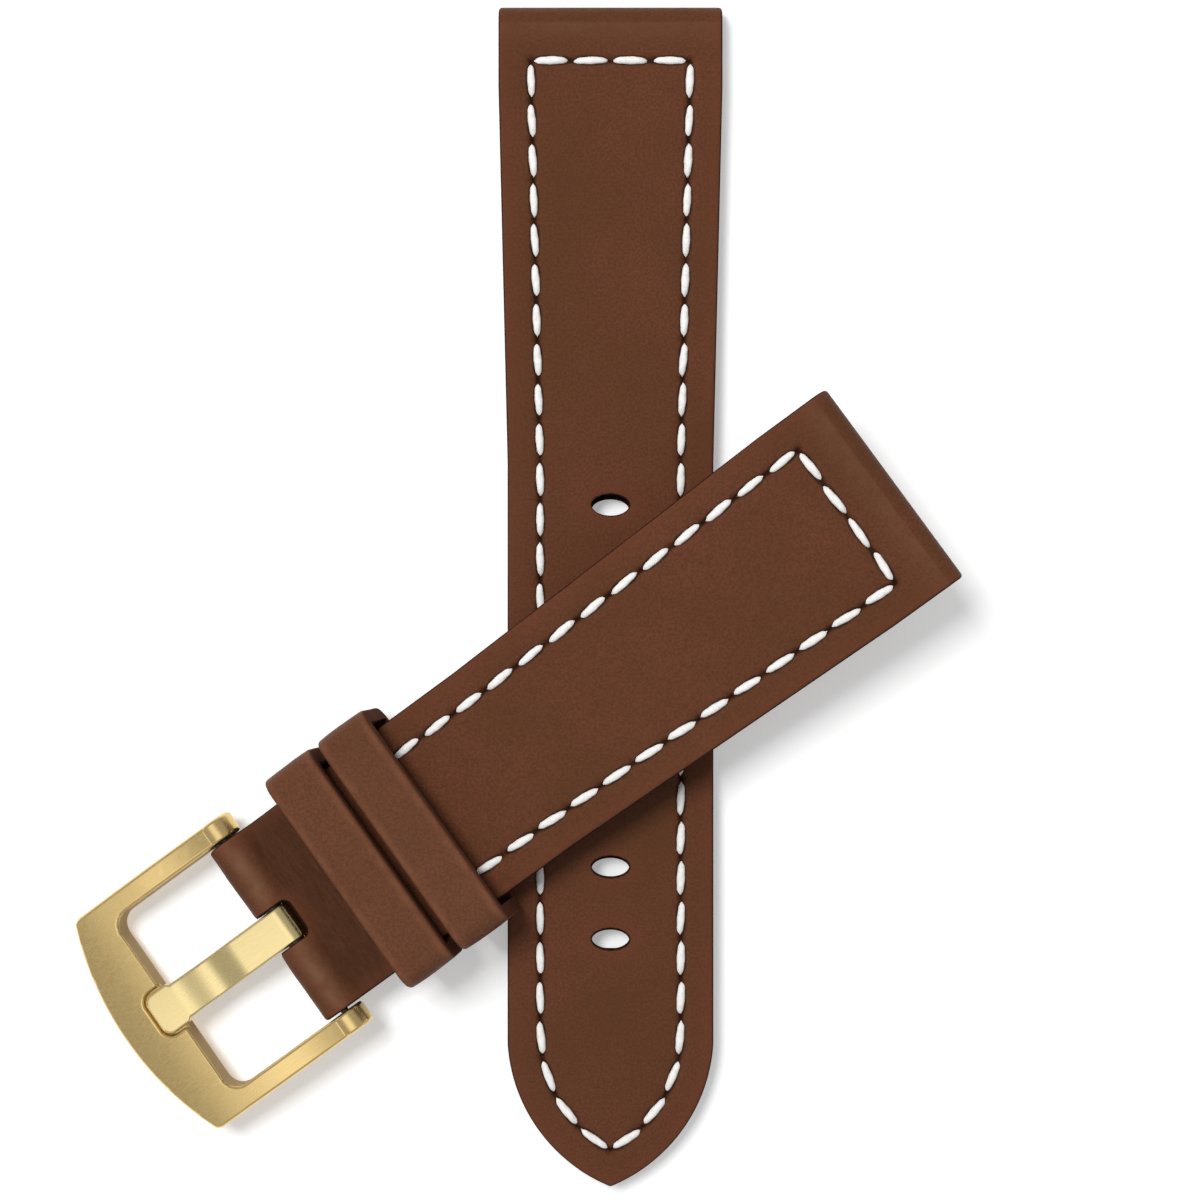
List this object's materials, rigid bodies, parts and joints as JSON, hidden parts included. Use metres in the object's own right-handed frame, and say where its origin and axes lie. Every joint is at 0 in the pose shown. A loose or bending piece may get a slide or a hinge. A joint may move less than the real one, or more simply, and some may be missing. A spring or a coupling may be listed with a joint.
{
  "type": "watch strap",
  "caption": "Brown leather watch strap in two halves with off-white stitching, two keepers and a brushed gold-coloured tang buckle.",
  "frame": {"origin": "middle of the spring bar channel in the long half's lug end", "axes": "+X along the channel, +Y out of the long half's lug end, away from its tip, +Z out of the upper face, towards the viewer of the picture"},
  "size_m": [0.0859, 0.116, 0.0132],
  "materials": {
    "leather": "smooth, lightly oiled, with fine creases",
    "lining": "smooth, matt",
    "filler": "matt board",
    "keeper_leather": "smooth, slightly glossy",
    "thread": "waxed thread",
    "gold_metal": "brushed along the strap",
    "steel": "turned"
  },
  "bodies": {
    "long_half": {"long_top_leather": "leather", "long_filler": "filler", "long_lining": "lining", "long_top_thread": "thread", "long_under_thread": "thread"},
    "short_half": {"short_top_leather": "leather", "short_filler": "filler", "short_lining": "lining", "short_top_thread": "thread", "short_under_thread": "thread", "fixed_keeper": "keeper_leather"},
    "free_keeper": {"free_keeper": "keeper_leather", "free_keeper_thread": "thread"},
    "spring_bar": {"spring_bar_tube": "steel", "spring_bar_spring": "steel"},
    "bar_tip_left": {"spring_bar_tip_left": "steel"},
    "bar_tip_right": {"spring_bar_tip_right": "steel"},
    "buckle": {"buckle_frame": "gold_metal"},
    "tongue": {"buckle_tongue": "gold_metal"}
  },
  "joints": [
    {"name": "short_half_lift", "type": "slide", "parent": "long_half", "child": "short_half", "axis": [0, 0, 1], "range_m": [0, 0.03]},
    {"name": "free_keeper_slide", "type": "slide", "parent": "short_half", "child": "free_keeper", "axis": [0.803, 0.5878, 0.0988], "range_m": [-0.0007, 0.028]},
    {"name": "spring_bar_spin", "type": "hinge", "parent": "short_half", "child": "spring_bar", "pos_m": [-0.03178, -0.08859, 0.00255], "axis": [0.5834, -0.809, 0.0718], "continuous": true},
    {"name": "bar_tip_left_press", "type": "slide", "parent": "spring_bar", "child": "bar_tip_left", "axis": [-0.5834, 0.809, -0.0718], "range_m": [0, 0.0009], "stiffness_N_per_m": 500, "deforming": ["spring_bar_spring"]},
    {"name": "bar_tip_right_press", "type": "slide", "parent": "spring_bar", "child": "bar_tip_right", "axis": [0.5834, -0.809, 0.0718], "range_m": [0, 0.0009], "stiffness_N_per_m": 500},
    {"name": "buckle_swing", "type": "hinge", "parent": "short_half", "child": "buckle", "pos_m": [-0.03178, -0.08859, 0.00255], "axis": [-0.5834, 0.809, -0.0718], "range_deg": [-90, 25]},
    {"name": "tongue_lift", "type": "hinge", "parent": "buckle", "child": "tongue", "pos_m": [-0.03178, -0.08859, 0.00255], "axis": [-0.5834, 0.809, -0.0718], "range_deg": [0, 80]}
  ]
}
